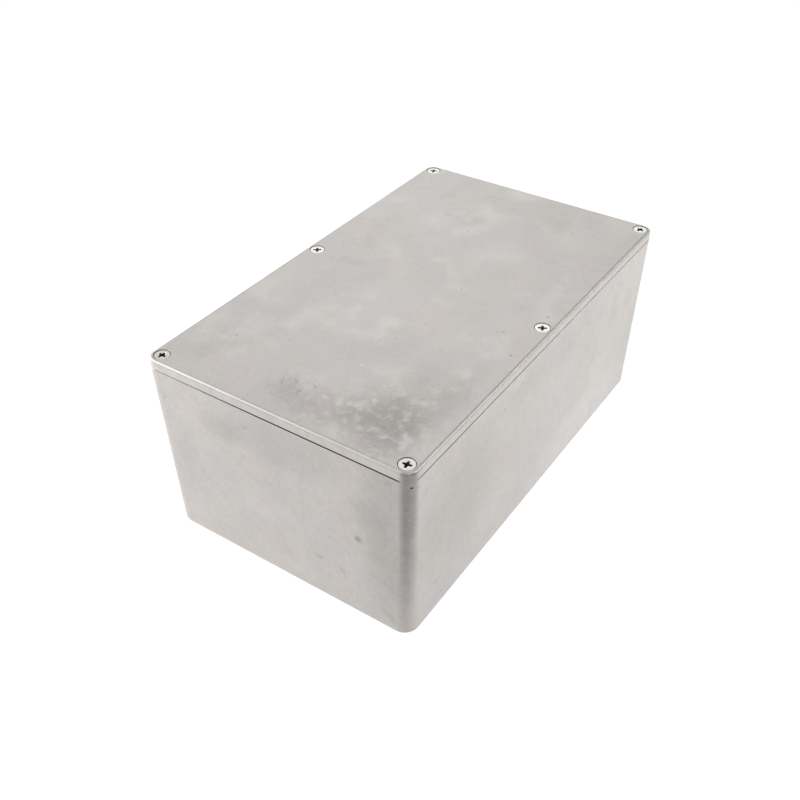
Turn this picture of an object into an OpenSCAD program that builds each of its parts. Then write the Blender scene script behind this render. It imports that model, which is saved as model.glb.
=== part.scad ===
// Die cast aluminium box: a drafted base casting, a lid casting with a locating tongue, and six
// countersunk lid screws. Millimetres, +Z up, length along X, origin at the centre of the underside.

/* [Overall size] */
// Length over the rim
box_l = 250; // [200:5:320]
// Width over the rim
box_w = 150; // [110:5:220]
// Height of the closed box, lid included
box_h = 106; // [60:1:160]

/* [Castings] */
// Wall thickness of the base
wall_t = 3; // [2.5:0.25:3.5]
// Floor thickness of the base
floor_t = 3.5; // [2.5:0.25:5]
// Draft of the base's walls, in degrees
draft = 0.85; // [0.5:0.05:1.5]
// Radius of the upright corners at the seam
corner_r = 5.5; // [5:0.25:6.5]
// Radius of the upright corners at the foot
foot_corner_r = 8; // [5.5:0.25:8.5]
// Radius of the edge round the underside
foot_r = 2.6; // [1:0.1:3]
// Radius where the inner walls meet the floor
fillet_r = 3; // [1:0.5:5]
// Chamfer that breaks the two edges of the seam
break_c = 0.1; // [0.05:0.05:0.3]

/* [Lid] */
// Height of the lid's visible edge
lid_h = 5.75; // [5:0.25:7]
// Thickness of the lid's plate
lid_t = 3; // [2.5:0.25:3.5]
// Radius of the lid's top edge
lid_edge_r = 1.2; // [0.5:0.1:1.3]
// Draft of the lid's edge, in degrees
lid_draft = 2; // [1:0.5:3]
// Height of the shadow groove in the seam
groove_h = 0.45; // [0.2:0.05:0.6]
// Depth of the shadow groove
groove_d = 1.2; // [0.6:0.1:1.5]
// How far the lid's tongue reaches into the base
tongue_h = 2.5; // [1.5:0.5:4]
// Thickness of the tongue
tongue_t = 1.5; // [1:0.25:2]
// Gap between the tongue and the base
tongue_gap = 0.3; // [0.2:0.05:0.5]

/* [Screws] */
// Distance of every screw from the edges of the box
screw_inset = 5.8; // [5.6:0.1:6.5]
// Nominal diameter of the screws
screw_d = 4; // [3.5:0.5:4]
// Overall length of the screws
screw_l = 12; // [10:1:16]
// Diameter of a screw head
head_d = 7.5; // [7:0.25:7.5]
// Diameter of a 90 degree countersink at the lid's face
sink_d = 8.5; // [8:0.1:9.2]
// Clearance hole in the lid
clear_d = 4.5; // [4.2:0.1:5]
// Span of the cross recess in a screw head
cross_span = 4.6; // [4:0.1:4.8]
// Depth of the cross recess
cross_depth = 2.3; // [1.8:0.1:2.6]
// Angle at which each screw came to rest, by rows along Y from the left end
screw_turns = [9, 86, 25, 36, 73, 20]; // [0:1:90]

/* [Bosses] */
// Radius of a boss at the rim
boss_r = 6; // [5.5:0.25:6.5]
// Draft of the bosses, in degrees
boss_draft = 0.8; // [0.5:0.1:1]
// Depth of the tapped holes
tap_depth = 14; // [12:1:18]

/* [Hidden] */

$fn = 96;
HULL_FN = 32; // segments of the round corners inside the one hull
EPS = 0.01;
OVER = 1; // how far a cutter runs past the face it opens

rim_z = box_h - lid_h;
foot_in = rim_z * tan(draft); // how far the draft brings the foot in from the rim
corner_x = box_l / 2 - corner_r; // axes of the corners at the seam
corner_y = box_w / 2 - corner_r;
foot_x = box_l / 2 - foot_in - foot_corner_r; // axes of the corners at the foot
foot_y = box_w / 2 - foot_in - foot_corner_r;
inner_x = box_l / 2 - wall_t; // half the mouth of the base
inner_y = box_w / 2 - wall_t;

screw_x = box_l / 2 - screw_inset;
screw_y = box_w / 2 - screw_inset;
SCREWS = [for (x = [-screw_x, 0, screw_x], y = [-screw_y, screw_y]) [x, y]];
head_rim = 0.2; // height of the straight rim round a screw's head
head_z = box_h - (sink_d - head_d) / 2 + head_rim; // face of a head that is down on its countersink
thread_play = 0.03; // radial gap between a screw's crests and its tapped hole
tip_c = 0.6; // chamfer on a screw's tip and in the mouth of a tapped hole
drill_tip = 0.6 * screw_d / 2; // height of the cone at the bottom of a drilled hole
cross_w = 1.25; // width of the recess's wings
cross_tip = 1.4; // span of the wings at their floor
socket_sink = 0.15; // how far the middle of the recess goes below its wings

// The children at every place in a list.
module at_each(places) {
    for (p = places)
        translate([p[0], p[1], 0]) children();
}

// The child and its mirror images, so that one quarter makes all four.
module in_four() {
    for (mx = [0, 1], my = [0, 1])
        mirror([mx, 0, 0]) mirror([0, my, 0]) children();
}

// ---- Base casting ----

// Outside of the base: round corners that widen from the seam to the drafted foot, joined by one hull.
module base_outside() {
    hull()
        in_four() {
            translate([corner_x, corner_y, rim_z - break_c])
                cylinder(r1 = corner_r, r2 = corner_r - break_c, h = break_c, $fn = HULL_FN);
            translate([foot_x, foot_y, 0])
                rotate_extrude($fn = HULL_FN) foot_section();
        }
}

// Half section of a corner's foot: a disc with a rounded lower edge.
module foot_section() {
    flat_r = foot_corner_r - foot_r;
    intersection() {
        union() {
            square([flat_r, foot_r]);
            translate([flat_r, foot_r]) circle(r = foot_r, $fn = HULL_FN);
        }
        square([foot_corner_r, foot_r]);
    }
}

// Cross section of the cavity for a mouth of half width w: drafted walls and rounded floor corners.
module cavity_section(w) {
    floor_w = w - (rim_z - floor_t) * tan(draft);
    mouth_w = w + OVER * tan(draft);
    arc_x = floor_w - fillet_r * (1 - sin(draft)) / cos(draft);
    arc_z = floor_t + fillet_r;
    touch_x = arc_x + fillet_r * cos(draft);
    touch_z = arc_z - fillet_r * sin(draft);
    union() {
        polygon([
            [-arc_x, floor_t], [arc_x, floor_t], [touch_x, touch_z],
            [mouth_w, rim_z + OVER], [-mouth_w, rim_z + OVER], [-touch_x, touch_z]
        ]);
        for (side = [-1, 1])
            translate([side * arc_x, arc_z]) circle(r = fillet_r);
    }
}

// The drafted cavity before the bosses are left standing in it.
module cavity() {
    intersection() {
        translate([-box_l / 2, 0, 0])
            rotate([90, 0, 90]) linear_extrude(height = box_l) cavity_section(inner_y);
        translate([0, box_w / 2, 0])
            rotate([90, 0, 0]) linear_extrude(height = box_w) cavity_section(inner_x);
    }
}

// A boss runs the full height of the cavity and thickens towards the floor.
module boss() {
    cylinder(r1 = boss_r + rim_z * tan(boss_draft), r2 = boss_r, h = rim_z);
    translate([0, 0, rim_z - EPS]) cylinder(r = boss_r, h = OVER + 2 * EPS);
}

// Blind tapped hole, plain at the thread's outer diameter, with a chamfered mouth.
module tapped_hole() {
    tap_r = screw_d / 2;
    translate([0, 0, rim_z - tap_depth]) cylinder(r = tap_r, h = tap_depth + OVER);
    translate([0, 0, rim_z - tap_depth - drill_tip]) cylinder(r1 = 0, r2 = tap_r, h = drill_tip);
    translate([0, 0, rim_z - tip_c]) cylinder(r1 = tap_r, r2 = tap_r + tip_c, h = tip_c);
}

module base() {
    color([0.74, 0.73, 0.71])
        difference() {
            base_outside();
            difference() {
                cavity();
                at_each(SCREWS) boss();
            }
            at_each(SCREWS) tapped_hole();
        }
}

// ---- Lid casting ----

// Section of the lid's edge, from a corner's centre line outwards.
module lid_edge_section() {
    top_r = corner_r - (lid_h - lid_edge_r) * tan(lid_draft);
    union() {
        polygon([
            [0, rim_z], [corner_r - break_c, rim_z], [corner_r, rim_z + break_c],
            [top_r, box_h - lid_edge_r], [top_r - lid_edge_r, box_h], [0, box_h]
        ]);
        translate([top_r - lid_edge_r, box_h - lid_edge_r]) circle(r = lid_edge_r);
    }
}

// The same section along the straight sides, where a groove lifts the edge off the base.
module grooved_edge_section() {
    difference() {
        lid_edge_section();
        translate([corner_r - groove_d, rim_z - OVER]) square([groove_d + OVER, OVER + groove_h]);
    }
}

// Outside of the lid: straight runs and quarter turns of the edge round a flat middle.
module lid_outside() {
    in_four() {
        rotate([90, 0, 90]) translate([corner_y, 0, 0])
            linear_extrude(height = corner_x) grooved_edge_section();
        translate([0, corner_y, 0]) rotate([90, 0, 0]) translate([corner_x, 0, 0])
            linear_extrude(height = corner_y) grooved_edge_section();
        translate([corner_x, corner_y, 0])
            rotate_extrude(angle = 90) lid_edge_section();
    }
    translate([-corner_x, -corner_y, rim_z]) cube([2 * corner_x, 2 * corner_y, lid_h]);
}

// Plan of the mouth of the base with its bosses, drawn in by d all the way round.
module mouth_plan(d) {
    difference() {
        square([2 * (inner_x - d), 2 * (inner_y - d)], center = true);
        at_each(SCREWS) circle(r = boss_r + d);
    }
}

// The tongue follows the mouth and steps in round every boss.
module tongue() {
    translate([0, 0, rim_z - tongue_h])
        linear_extrude(height = tongue_h + groove_h + EPS)
            difference() {
                mouth_plan(tongue_gap);
                mouth_plan(tongue_gap + tongue_t);
            }
}

// Hollow under the lid's plate, flush with the inside of the tongue.
module lid_hollow() {
    translate([0, 0, rim_z - OVER])
        linear_extrude(height = OVER + lid_h - lid_t) mouth_plan(tongue_gap + tongue_t);
}

// Clearance hole with a 90 degree countersink.
module countersunk_hole() {
    sink_h = sink_d / 2 + OVER;
    translate([0, 0, rim_z - OVER]) cylinder(d = clear_d, h = lid_h + OVER);
    translate([0, 0, box_h + OVER - sink_h]) cylinder(r1 = 0, r2 = sink_h, h = sink_h);
}

module lid() {
    color([0.76, 0.75, 0.73])
        difference() {
            union() {
                lid_outside();
                tongue();
            }
            lid_hollow();
            at_each(SCREWS) countersunk_hole();
        }
}

// ---- Screws ----

// Cross recess, its mouth in the plane z = 0: two crossed wings and a tapered socket.
module cross_recess() {
    for (turn = [0, 90])
        rotate([90, 0, turn])
            translate([0, 0, -cross_w / 2])
                linear_extrude(height = cross_w)
                    polygon([
                        [-cross_span / 2, OVER], [-cross_span / 2, 0], [-cross_tip / 2, -cross_depth],
                        [cross_tip / 2, -cross_depth], [cross_span / 2, 0], [cross_span / 2, OVER]
                    ]);
    translate([0, 0, -cross_depth - socket_sink])
        cylinder(r1 = cross_tip / 2, r2 = cross_w, h = cross_depth + socket_sink + EPS);
}

// Countersunk cross recess screw, its head's face in the plane z = 0.
module screw() {
    shank_r = screw_d / 2 - thread_play;
    cone_h = head_d / 2 - shank_r;
    difference() {
        rotate_extrude()
            polygon([
                [0, 0], [head_d / 2, 0], [head_d / 2, -head_rim], [shank_r, -head_rim - cone_h],
                [shank_r, tip_c - screw_l], [shank_r - tip_c, -screw_l], [0, -screw_l]
            ]);
        cross_recess();
    }
}

module lid_screws() {
    color([0.85, 0.84, 0.80])
        for (i = [0 : len(SCREWS) - 1])
            translate([SCREWS[i][0], SCREWS[i][1], head_z])
                rotate([0, 0, screw_turns[i]]) screw();
}

base();
lid();
lid_screws();
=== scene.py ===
"""Die cast aluminium box: the looks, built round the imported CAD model. Metres, +Z up."""

import math

import bpy
from mathutils import Matrix, Vector


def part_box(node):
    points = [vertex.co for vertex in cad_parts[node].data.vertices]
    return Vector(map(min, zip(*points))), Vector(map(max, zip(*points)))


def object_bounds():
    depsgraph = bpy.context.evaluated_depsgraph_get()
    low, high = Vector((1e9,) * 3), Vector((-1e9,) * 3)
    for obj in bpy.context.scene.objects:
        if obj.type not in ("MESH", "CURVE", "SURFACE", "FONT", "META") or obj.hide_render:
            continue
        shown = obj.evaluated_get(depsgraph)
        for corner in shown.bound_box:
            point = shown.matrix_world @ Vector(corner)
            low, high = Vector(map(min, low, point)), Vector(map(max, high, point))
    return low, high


MM = 0.001

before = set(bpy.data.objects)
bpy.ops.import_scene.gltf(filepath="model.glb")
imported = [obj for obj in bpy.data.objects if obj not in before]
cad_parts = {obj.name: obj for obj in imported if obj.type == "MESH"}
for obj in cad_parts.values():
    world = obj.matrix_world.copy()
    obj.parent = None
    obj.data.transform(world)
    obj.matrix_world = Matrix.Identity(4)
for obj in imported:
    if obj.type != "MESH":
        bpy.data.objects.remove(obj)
cad_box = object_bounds()
LID_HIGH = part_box("lid")[1]
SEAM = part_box("base")[1][2]
TOP = LID_HIGH[2]
HALF_L = LID_HIGH[0]
HALF_W = LID_HIGH[1]
SCREW_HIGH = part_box("lid_screws")[1]
HEAD_R = 3.75 * MM
SINK_R = 4.25 * MM
SCREW_X = SCREW_HIGH[0] - HEAD_R
SCREW_Y = SCREW_HIGH[1] - HEAD_R
HEAD_Z = SCREW_HIGH[2]
SCREWS = [(x, y) for x in (-SCREW_X, 0, SCREW_X) for y in (-SCREW_Y, SCREW_Y)]

BASE_TONE = (0.600, 0.574, 0.552)
PLATING_TONE = (0.60, 0.59, 0.565)
SEAM_MIDDLE = SEAM + 0.17 * MM  # middle of the groove and the chamfer below it
LAMP_SIZE = 0.7
LAMP_DISTANCE = 1.0
CAMERA_PLACE = (-0.36845, -0.23444, 0.37474)
CAMERA_ANGLES = (34.076, 38.230, 0.255)  # yaw from +X towards +Y, tilt down and roll, in degrees

# Soft stain patches on the lid, and broad patches of painted shade and light, darkest towards the front
# left corner: x, y, half length, half width (mm), turn (degrees), change of tone.
LID_STAINS_AND_SHADING = [
    (-104, -45, 34, 24, 35, -0.24),
    (-88, -50, 46, 17, 10, -0.10),
    (-80, -62, 50, 12, 0, -0.12),
    (-108, -15, 18, 34, 0, -0.16),
    (-104, 6, 16, 10, 20, -0.04),
    (-104, 9, 4.5, 1.1, 20, -0.20),
    (-101, 3, 3.2, 0.9, 55, -0.18),
    (-107, -2, 3.6, 1.1, 10, -0.18),
    (-99, -6, 2.8, 0.9, 60, -0.18),
    (-110, 12, 3.0, 0.9, -20, -0.15),
    (-96, 12, 3.0, 0.8, 35, -0.12),
    (-29, -10, 2.6, 0.7, 30, -0.16),
    (-66, 12, 14, 0.7, -62, -0.06),
    (-51, -12, 14, 0.7, -55, -0.06),
    (-30, -21, 16, 0.7, -4, -0.06),
    (-81, -55, 1.2, 0.9, 0, -0.35),
    (-66, -52, 1.1, 0.9, 0, -0.35),
    (-54, -57, 1.2, 0.8, 0, -0.30),
    (-30, -67.5, 1.6, 1.1, 30, -0.40),
    (-14, -55, 1.2, 0.9, 0, -0.25),
    (-74, -14, 1.0, 0.9, 0, 0.20),
    (-100, 55, 26, 16, -40, -0.07),
    (-55, -14, 40, 18, -35, -0.05),
    (0, 45, 5, 20, 8, -0.07),
    (22, 50, 14, 7, 30, -0.05),
    (100, -30, 13, 9, 20, -0.06),
    (94, 44, 9, 7, 0, -0.05),
    (85, 12, 10, 30, 22, 0.09),
    (44, -11, 22, 13, -15, 0.07),
    (66, 30, 12, 14, 20, 0.04),
    (30, -60, 32, 6, 3, 0.05),
    (-98, 42, 15, 7, -35, 0.05),
    (110, -60, 20, 14, 0, 0.03),
]
# The same on the left end, with painted shade towards its front: y, z.
END_STAINS_AND_SHADING = [
    (-46, 53, 3.4, 2.8, 0, -0.30),
    (-22, 27, 4.2, 1.9, 10, -0.16),
    (-36, 26, 6, 1.2, 60, -0.14),
    (-64, 96, 3, 3, 0, -0.10),
    (-50, 71, 18, 13, 0, -0.07),
    (-62, 10, 7, 4, 30, -0.12),
    (31, 82, 17, 12, 0, -0.10),
    (58, 60, 9, 26, 0, -0.05),
    (-11, 78, 2.5, 0.7, 25, -0.16),
    (16, 90, 3, 0.6, 160, -0.12),
    (56, 67, 2, 0.8, 0, -0.12),
    (50, 46, 2.5, 0.8, 20, -0.12),
    (10, 45, 24, 16, 20, 0.05),
    (-10, 12, 30, 9, 0, 0.04),
    (-64, 62, 22, 80, 0, -0.16),
    (-5, 88, 46, 20, 0, -0.10),
    (60, 16, 16, 18, 0, 0.05),
]
# The same on the front side, with painted shade towards its left and painted light towards its right: x, z.
SIDE_STAINS_AND_SHADING = [
    (-45, 88, 3, 1.2, 20, -0.14),
    (-102, 21, 3, 2.5, 0, -0.14),
    (60, 25, 2.4, 1.4, 0, -0.12),
    (50, 32, 2.4, 1.2, 30, -0.10),
    (72, 38, 19, 15, 0, 0.05),
    (55, 14, 80, 26, 0, 0.10),
    (80, 73, 9, 18, 0, -0.06),
    (100, 73, 7, 9, 0, -0.05),
    (-32, 96, 11, 4, 0, 0.07),
    (25, 81, 15, 9, 0, -0.05),
    (-84, 60, 50, 50, 0, -0.10),
    (0, 90, 60, 18, 0, -0.05),
    (-122, 97, 0.8, 0.6, 0, -0.7),
    (-119, 96, 0.7, 0.5, 0, -0.7),
]


class Graph:
    """Adds shader nodes to a tree. A value is a number, a tuple, or another node's socket."""

    def __init__(self, tree):
        self.tree = tree
        tree.nodes.clear()

    def add(self, kind, inputs=None, **settings):
        node = self.tree.nodes.new(kind)
        for name, value in settings.items():
            setattr(node, name, value)
        for name, value in (inputs or {}).items():
            self.feed(node.inputs[name], value)
        return node

    def feed(self, socket, value):
        if isinstance(value, bpy.types.NodeSocket):
            self.tree.links.new(value, socket)
        else:
            socket.default_value = value

    def math(self, operation, *values, clamp=False):
        node = self.add("ShaderNodeMath", operation=operation, use_clamp=clamp)
        for socket, value in zip(node.inputs, values):
            self.feed(socket, value)
        return node.outputs[0]

    def vector(self, operation, *values, out=0, scale=None):
        node = self.add("ShaderNodeVectorMath", operation=operation)
        for socket, value in zip(node.inputs, values):
            self.feed(socket, value)
        if scale is not None:
            self.feed(node.inputs["Scale"], scale)
        return node.outputs[out]

    def mix_number(self, factor, low, high):
        node = self.add("ShaderNodeMix", data_type="FLOAT")
        for name, value in (("Factor_Float", factor), ("A_Float", low), ("B_Float", high)):
            self.feed(next(s for s in node.inputs if s.identifier == name), value)
        return node.outputs[0]

    def fade(self, value, start, end, low=0.0, high=1.0):
        """Smooth step of value: low at start and before it, high at end and past it."""
        node = self.add(
            "ShaderNodeMapRange",
            {"Value": value, "From Min": start, "From Max": end, "To Min": low, "To Max": high},
            interpolation_type="SMOOTHSTEP",
        )
        return node.outputs[0]

    def product(self, first, *others):
        for other in others:
            first = self.math("MULTIPLY", first, other)
        return first

    def absolute(self, value):
        return self.math("ABSOLUTE", value)

    def noise(self, place, size, detail=3.0, rough=0.5, shift=0.0, warp=0.0):
        """Noise whose features are about size metres across, centred on 0 and mostly within -1 to 1."""
        node = self.add(
            "ShaderNodeTexNoise",
            {
                "Vector": self.vector("ADD", place, (shift, shift * 1.7, shift * 2.3)),
                "Scale": 1 / size,
                "Detail": detail,
                "Roughness": rough,
                "Distortion": warp,
            },
        )
        return self.math("MULTIPLY", self.math("SUBTRACT", node.outputs["Fac"], 0.5), 4.0)

    def channels(self, colour):
        return self.add("ShaderNodeSeparateColor", {"Color": colour}).outputs

    def spot(self, place, centre, radii, turn):
        """1 in the middle of an ellipsoid and 0 from its edge outwards."""
        inside = self.add(
            "ShaderNodeMapping",
            {"Vector": place, "Location": centre, "Rotation": turn, "Scale": radii},
            vector_type="TEXTURE",
        )
        reach = self.vector("LENGTH", inside.outputs[0], out=1)
        return self.fade(reach, 1.0, 0.25)


def grey(value):
    return (value, value, value, 1.0)


def total(graph, values):
    """Sum of a list of (value, weight)."""
    result = 0.0
    for value, weight in values:
        result = graph.math("MULTIPLY_ADD", value, weight, result)
    return result


def flow_warp(graph, place, size, reach):
    """The place, pushed about by noise, so that a stain's edge isn't an ellipse."""
    pushes = {"Vector": place, "Scale": 1 / size, "Detail": 3.0, "Roughness": 0.6}
    node = graph.add("ShaderNodeTexNoise", pushes)
    push = graph.vector("SUBTRACT", node.outputs["Color"], (0.5, 0.5, 0.5))
    return graph.vector("ADD", place, graph.vector("SCALE", push, scale=reach))


def stains_and_shading(graph, place, rows, face):
    """Weighted spots of stain and of painted shade and light on one face: 'lid' lies in x and y, 'end' in y
    and z, 'side' in x and z.
    """
    result = []
    for a, b, length, width, turn, change in rows:
        a, b, length, width = a * MM, b * MM, length * MM, width * MM
        angle = math.radians(turn)
        if face == "lid":
            centre, radii, spin = (a, b, TOP), (length, width, 1.6 * MM), (0, 0, angle)
        elif face == "end":
            centre, radii, spin = (-HALF_L, a, b), (6 * MM, length, width), (angle, 0, 0)
        else:
            centre, radii, spin = (a, -HALF_W, b), (length, 6 * MM, width), (0, -angle, 0)
        result.append((graph.spot(place, centre, radii, spin), change))
    return result


def face_coordinates(graph, place):
    """Two coordinates along whichever face a point is on, and a third that tells the faces apart."""
    normal = graph.add("ShaderNodeNewGeometry").outputs["True Normal"]
    size = graph.vector("ABSOLUTE", normal)
    split = graph.add("ShaderNodeSeparateXYZ", {"Vector": size})
    at = graph.add("ShaderNodeSeparateXYZ", {"Vector": place})
    flat = graph.math("GREATER_THAN", split.outputs["Z"], 0.7)
    end = graph.math("GREATER_THAN", split.outputs["X"], 0.7)
    up = graph.mix_number(flat, at.outputs["Z"], at.outputs["Y"])
    along = graph.mix_number(end, at.outputs["X"], at.outputs["Y"])
    apart = graph.math("MULTIPLY_ADD", end, 0.31, graph.math("MULTIPLY", flat, 0.77))
    return graph.add("ShaderNodeCombineXYZ", {"X": along, "Y": up, "Z": apart}).outputs[0]


def scratches(graph, face, angle, length, width, density, seed):
    """Thin marks along one angle, in degrees; 1 on a mark. Density is the share of cells with one."""
    turned = graph.add(
        "ShaderNodeMapping",
        {
            "Vector": face,
            "Location": (seed, seed * 1.3, 0.0),
            "Rotation": (0.0, 0.0, math.radians(angle)),
        },
    ).outputs[0]
    bent = flow_warp(graph, turned, 14 * MM, 3 * MM)
    long_cells = graph.vector("MULTIPLY", bent, (1 / length, 1 / (width * 9), 1.0))
    cells = graph.add("ShaderNodeTexVoronoi", {"Vector": long_cells, "Scale": 1.0, "Randomness": 1.0})
    mark = graph.fade(cells.outputs["Distance"], 0.16, 0.03)
    chosen = graph.math("LESS_THAN", graph.channels(cells.outputs["Color"])[0], density)
    return graph.math("MULTIPLY", mark, chosen)


def scratch_pair(graph, face, first, second):
    return graph.math("MAXIMUM", scratches(graph, face, *first), scratches(graph, face, *second))


def pitting(graph, place, worn):
    """Small round pits of several sizes in the worn areas; 1 in a pit."""
    warped = flow_warp(graph, place, 3 * MM, 1.2 * MM)
    cells = graph.add("ShaderNodeTexVoronoi", {"Vector": warped, "Scale": 1 / (4.2 * MM)})
    pick = graph.channels(cells.outputs["Color"])
    size = graph.math("MULTIPLY_ADD", pick[1], 0.13, 0.05)
    edge = graph.math("DIVIDE", cells.outputs["Distance"], size)
    chosen = graph.math("LESS_THAN", pick[0], 0.30)
    return graph.product(graph.fade(edge, 1.0, 0.5), chosen, worn)


def seam_dirt_and_shade(graph, at):
    """Dirt and painted shade in the seam: strong on the left end near the front, weak on the sides, none at
    the corners.
    """
    off_seam = graph.absolute(graph.math("SUBTRACT", at["Z"], SEAM_MIDDLE))
    near = graph.fade(off_seam, 0.50 * MM, 0.30 * MM)
    on_end = graph.fade(at["X"], -HALF_L + 6 * MM, -HALF_L + 4 * MM)
    end_depth = graph.fade(at["Y"], 0.075, -0.015, 0.25, 0.92)
    side_depth = graph.fade(at["X"], -0.12, 0.1, 0.50, 0.34)
    depth = graph.mix_number(on_end, side_depth, end_depth)
    from_end = graph.fade(graph.absolute(at["Y"]), HALF_W - 4 * MM, HALF_W - 8 * MM)
    from_side = graph.fade(graph.absolute(at["X"]), HALF_L - 4 * MM, HALF_L - 8 * MM)
    straight = graph.math("MAXIMUM", from_end, from_side)
    return graph.product(near, depth, straight)


def sink_dirt_and_shade(graph, place, at):
    """Dirt and painted shade on the countersinks, below the lid's face."""
    flat = graph.vector("MULTIPLY", place, (1, 1, 0))
    rings = 0.0
    for x, y in SCREWS:
        reach = graph.vector("DISTANCE", flat, (x, y, 0), out=1)
        rings = graph.math("MAXIMUM", rings, graph.math("LESS_THAN", reach, SINK_R + 0.3 * MM))
    below = graph.fade(at["Z"], TOP - 0.01 * MM, TOP - 0.12 * MM)
    in_lid = graph.math("GREATER_THAN", at["Z"], SEAM + 1 * MM)
    return graph.product(rings, below, in_lid)


def edge_painted_shade(graph, at):
    """Painted shade on the lid's rounded top edge, dimming its highlight, darker on the long sides than on
    the ends.
    """
    high = graph.fade(at["Z"], TOP - 2.0 * MM, TOP - 1.2 * MM)
    end = graph.fade(graph.absolute(at["X"]), HALF_L - 1.8 * MM, HALF_L - 0.9 * MM, 0.0, -0.12)
    side = graph.fade(graph.absolute(at["Y"]), HALF_W - 1.8 * MM, HALF_W - 0.9 * MM, 0.0, -0.27)
    return graph.math("MULTIPLY", high, graph.math("MINIMUM", end, side))


def corner_painted_shade(graph, at):
    """Painted shade down the front left upright corner, darkest under its screw."""
    in_x = graph.fade(at["X"], -HALF_L + 7.5 * MM, -HALF_L + 3.2 * MM)
    in_y = graph.fade(at["Y"], -HALF_W + 7.5 * MM, -HALF_W + 3.2 * MM)
    side = graph.fade(at["Z"], TOP - 0.2 * MM, TOP - 1.4 * MM)
    depth = graph.fade(at["Z"], 0.0, 0.115, -0.05, -0.355)
    lid = graph.fade(at["Z"], SEAM - 0.5 * MM, SEAM + 0.5 * MM, 0.0, -0.07)
    return graph.product(in_x, in_y, side, graph.math("ADD", depth, lid))


def new_material(name):
    material = bpy.data.materials.new(name)
    material.use_nodes = True
    return material, Graph(material.node_tree)


def metal_surface(graph, colour, metal, rough, height, strength):
    bump = graph.add("ShaderNodeBump", {"Height": height, "Strength": strength, "Distance": 1.0}).outputs[0]
    shader = graph.add(
        "ShaderNodeBsdfPrincipled",
        {"Base Color": colour, "Metallic": metal, "Roughness": rough, "Normal": bump},
    )
    graph.add("ShaderNodeOutputMaterial", {"Surface": shader.outputs[0]})


def casting_tint(graph, place, shift):
    """The metal's own colour, drifting between warm and cool and between pink and green."""
    warm = graph.noise(place, 40 * MM, 3, 0.5, shift + 7, 0.8)
    pink = graph.noise(place, 22 * MM, 3, 0.5, shift + 8, 0.8)
    drift = {"X": (0.010, 0.008), "Y": (0.004, -0.007), "Z": (-0.016, 0.004)}
    channels = {}
    for (axis, (by_warm, by_pink)), level in zip(drift.items(), BASE_TONE):
        change = total(graph, [(warm, by_warm), (pink, by_pink)])
        channels[axis] = graph.math("ADD", change, level)
    return graph.add("ShaderNodeCombineXYZ", channels).outputs[0]


def cast_aluminium(name, stain_and_shading_rows, shift):
    """Bare as-cast aluminium: cloudy, mottled, finely pitted and scratched. Shift moves its noises."""
    material, graph = new_material(name)
    place = graph.add("ShaderNodeTexCoord").outputs["Object"]
    at = graph.add("ShaderNodeSeparateXYZ", {"Vector": place}).outputs
    face = face_coordinates(graph, place)

    clouds = graph.noise(place, 60 * MM, 4, 0.5, shift, 0.6)
    blotches = graph.noise(place, 16 * MM, 4, 0.6, shift + 1, 1.2)
    mottle = graph.noise(place, 6 * MM, 3, 0.6, shift + 2, 1.5)
    speckle = graph.noise(place, 2.2 * MM, 2, 0.6, shift + 3)
    grain = graph.noise(place, 0.5 * MM, 1, 0.5, shift + 4)
    contours = graph.absolute(graph.noise(place, 34 * MM, 4, 0.55, shift + 5, 1.0))
    flow_marks = graph.fade(contours, 0.05, 0.0)
    worn = graph.fade(graph.noise(place, 28 * MM, 3, 0.6, shift + 6), 0.1, 0.7)
    pits = pitting(graph, place, worn)

    # Each scratch family: angle, length, width, density, seed.
    bright = scratch_pair(
        graph, face, (24, 9 * MM, 0.14 * MM, 0.24, 3.1), (-63, 6 * MM, 0.12 * MM, 0.20, 5.7)
    )
    dark = scratch_pair(
        graph, face, (-38, 5 * MM, 0.20 * MM, 0.20, 8.3), (71, 4 * MM, 0.20 * MM, 0.16, 1.9)
    )

    changes = [
        (clouds, 0.026),
        (blotches, 0.034),
        (mottle, 0.042),
        (speckle, 0.038),
        (grain, 0.018),
        (flow_marks, -0.05),
        (pits, -0.40),
        (bright, 0.14),
        (dark, -0.26),
        # painted shade on the lid's rounded top edge, dimming its highlight
        (edge_painted_shade(graph, at), 1.0),
        # painted shade down the front left upright corner
        (corner_painted_shade(graph, at), 1.0),
    ]
    # stain patches, and broad patches of painted shade and light
    warped = flow_warp(graph, place, 9 * MM, 7 * MM)
    for rows, kind in stain_and_shading_rows:
        changes += stains_and_shading(graph, warped, rows, kind)
    # dirt and painted shade in the seam
    seam = seam_dirt_and_shade(graph, at)
    # dirt and painted shade on the countersinks
    sink = sink_dirt_and_shade(graph, place, at)
    light = graph.product(
        graph.math("ADD", total(graph, changes), 1.0),
        graph.fade(seam, 0.0, 1.0, 1.0, 0.04),
        graph.fade(sink, 0.0, 1.0, 1.0, 0.18),
    )
    colour = graph.vector("SCALE", casting_tint(graph, place, shift), scale=light)

    rougher = [
        (blotches, 0.03),
        (mottle, 0.03),
        (speckle, 0.03),
        (worn, -0.05),
        (bright, -0.12),
        (seam, 0.3),
    ]
    rough = graph.math("ADD", total(graph, rougher), 0.52, clamp=True)
    barer = [(clouds, 0.03), (worn, 0.05), (pits, -0.3), (seam, -0.5), (sink, -0.4)]
    metal = graph.math("ADD", total(graph, barer), 0.52, clamp=True)
    relief = [
        (mottle, 0.020 * MM),
        (speckle, 0.014 * MM),
        (grain, 0.006 * MM),
        (flow_marks, -0.010 * MM),
        (pits, -0.10 * MM),
        (bright, -0.02 * MM),
        (dark, -0.04 * MM),
    ]
    metal_surface(graph, colour, metal, rough, total(graph, relief), 0.7)
    return material


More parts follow.
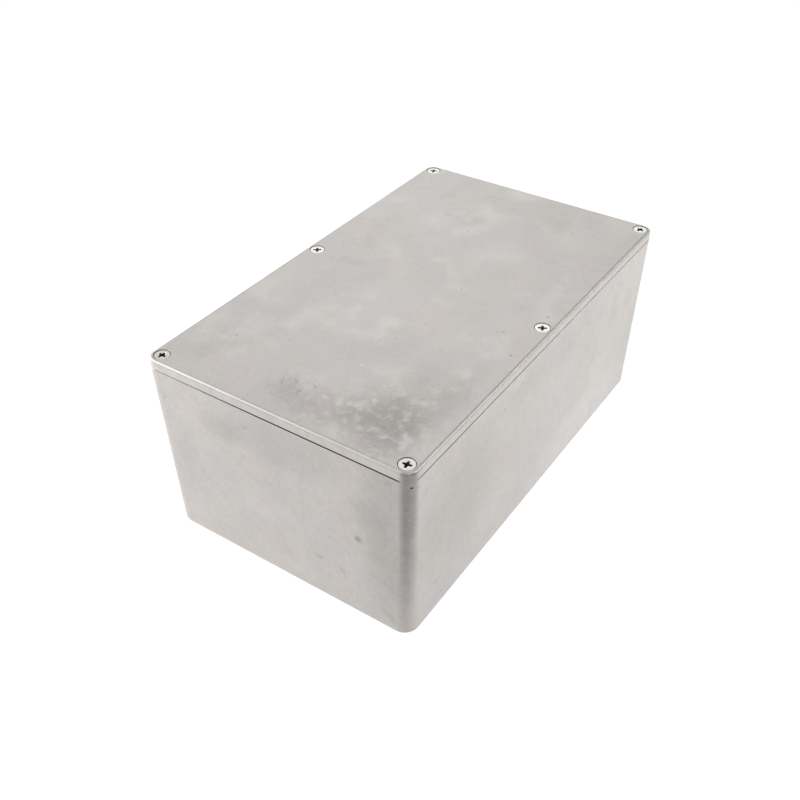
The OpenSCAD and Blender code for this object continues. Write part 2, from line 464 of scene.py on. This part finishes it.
def plated_steel(name):
    """Bright zinc plating, with painted shade: greyer towards the left end and brighter towards the right,
    and dark in the cross recesses.
    """
    material, graph = new_material(name)
    place = graph.add("ShaderNodeTexCoord").outputs["Object"]
    at = graph.add("ShaderNodeSeparateXYZ", {"Vector": place}).outputs
    dull = graph.noise(place, 2.5 * MM, 3, 0.6, 4.0)
    fine = graph.noise(place, 0.3 * MM, 2, 0.6, 6.0)
    # painted shade and light: greyer towards the left end, brighter towards the right
    painted_shade_leftward = graph.fade(at["X"], -0.10, 0.05, -0.14, 0.10)
    tone = total(graph, [(dull, 0.05), (fine, 0.03), (painted_shade_leftward, 1.0)])
    # painted shade in the cross recesses, below the heads' tops
    deep = graph.fade(at["Z"], HEAD_Z - 0.05 * MM, HEAD_Z - 0.45 * MM)
    light = graph.product(graph.math("ADD", tone, 1.0), graph.fade(deep, 0.0, 1.0, 1.0, 0.10))
    colour = graph.vector("SCALE", PLATING_TONE, scale=light)
    rough = graph.math("ADD", total(graph, [(dull, 0.05), (fine, 0.04)]), 0.34, clamp=True)
    metal = graph.fade(deep, 0.0, 1.0, 0.95, 0.3)
    height = total(graph, [(fine, 0.004 * MM), (dull, 0.008 * MM)])
    metal_surface(graph, colour, metal, rough, height, 0.6)
    return material


def seen_rays(graph):
    """1 for the rays that the camera, a reflection or glass sees directly."""
    path = graph.add("ShaderNodeLightPath").outputs
    seen = graph.math("MAXIMUM", path["Is Camera Ray"], path["Is Glossy Ray"])
    return graph.math("MAXIMUM", seen, path["Is Transmission Ray"])


def make_world(strength):
    """White for the camera and in reflections; a weaker even light on the object."""
    world = bpy.data.worlds.new("studio")
    bpy.context.scene.world = world
    world.use_nodes = True
    graph = Graph(world.node_tree)
    seen = seen_rays(graph)
    light = graph.add("ShaderNodeBackground", {"Color": grey(1.0), "Strength": strength}).outputs[0]
    white = graph.add("ShaderNodeBackground", {"Color": grey(1.0), "Strength": 1.0}).outputs[0]
    both = graph.add("ShaderNodeMixShader", {"Fac": seen, 1: light, 2: white})
    graph.add("ShaderNodeOutputWorld", {"Surface": both.outputs[0]})


def make_floor(width, albedo, glow):
    """White paper that keeps a faint shadow."""
    bpy.ops.mesh.primitive_plane_add(size=width, location=(0, 0, cad_box[0][2]))
    floor = bpy.context.object
    floor.name = "floor"
    material, graph = new_material("white_paper")
    paper = graph.add("ShaderNodeBsdfDiffuse", {"Color": grey(albedo)}).outputs[0]
    shade = graph.add("ShaderNodeBsdfDiffuse", {"Color": grey(0.25)}).outputs[0]
    shine = graph.add("ShaderNodeEmission", {"Color": grey(1.0), "Strength": glow}).outputs[0]
    both = graph.add("ShaderNodeAddShader", {0: shade, 1: shine}).outputs[0]
    mixed = graph.add("ShaderNodeMixShader", {"Fac": seen_rays(graph), 1: paper, 2: both})
    graph.add("ShaderNodeOutputMaterial", {"Surface": mixed.outputs[0]})
    floor.data.materials.append(material)


def make_lamp(name, azimuth, elevation, power):
    """Square lamp aimed at the middle of the box. Azimuth runs from +X towards +Y, in degrees."""
    data = bpy.data.lights.new(name, "AREA")
    data.shape = "RECTANGLE"
    data.size = data.size_y = LAMP_SIZE
    data.energy = power
    lamp = bpy.data.objects.new(name, data)
    a, e = math.radians(azimuth), math.radians(elevation)
    way = Vector((math.cos(e) * math.cos(a), math.cos(e) * math.sin(a), math.sin(e)))
    middle = (Vector(cad_box[0]) + Vector(cad_box[1])) / 2
    lamp.location = middle + way * LAMP_DISTANCE
    lamp.rotation_euler = way.to_track_quat("Z", "Y").to_euler()
    lamp.visible_camera = False
    bpy.context.scene.collection.objects.link(lamp)


def make_camera():
    yaw, tilt, roll = (math.radians(angle) for angle in CAMERA_ANGLES)
    flat = Vector((math.cos(yaw), math.sin(yaw), 0))
    forward = flat * math.cos(tilt) - Vector((0, 0, math.sin(tilt)))
    right = forward.cross(Vector((0, 0, 1))).normalized()
    down = forward.cross(right)
    side = right * math.cos(roll) + down * math.sin(roll)
    low = down * math.cos(roll) - right * math.sin(roll)
    turn = Matrix((side, -low, -forward)).transposed().to_4x4()
    data = bpy.data.cameras.new("camera")
    data.lens = 44.225
    data.sensor_width = 36.0
    camera = bpy.data.objects.new("camera", data)
    camera.matrix_world = Matrix.Translation(Vector(CAMERA_PLACE)) @ turn
    bpy.context.scene.collection.objects.link(camera)
    bpy.context.scene.camera = camera


def dress(node, material):
    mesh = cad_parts[node].data
    mesh.materials.clear()
    mesh.materials.append(material)


def build():
    bpy.context.scene.view_settings.view_transform = "Standard"
    make_camera()
    make_world(0.12)
    make_floor(4.0, 0.8, 0.93)
    make_lamp("left_low", 124, 10, 11.4)
    make_lamp("right_low", 285, 8, 5.2)
    make_lamp("right_fill", 304, 10, 2.0)
    make_lamp("back_fill", 34, 40, 1.1)
    # stain patches, and painted shade and light, on the base's end and front side
    base_stains_and_shading = [(END_STAINS_AND_SHADING, "end"), (SIDE_STAINS_AND_SHADING, "side")]
    dress("base", cast_aluminium("cast_aluminium_base", base_stains_and_shading, 0.0))
    dress("lid", cast_aluminium("cast_aluminium_lid", [(LID_STAINS_AND_SHADING, "lid")], 12.0))
    dress("lid_screws", plated_steel("plated_steel"))


build()
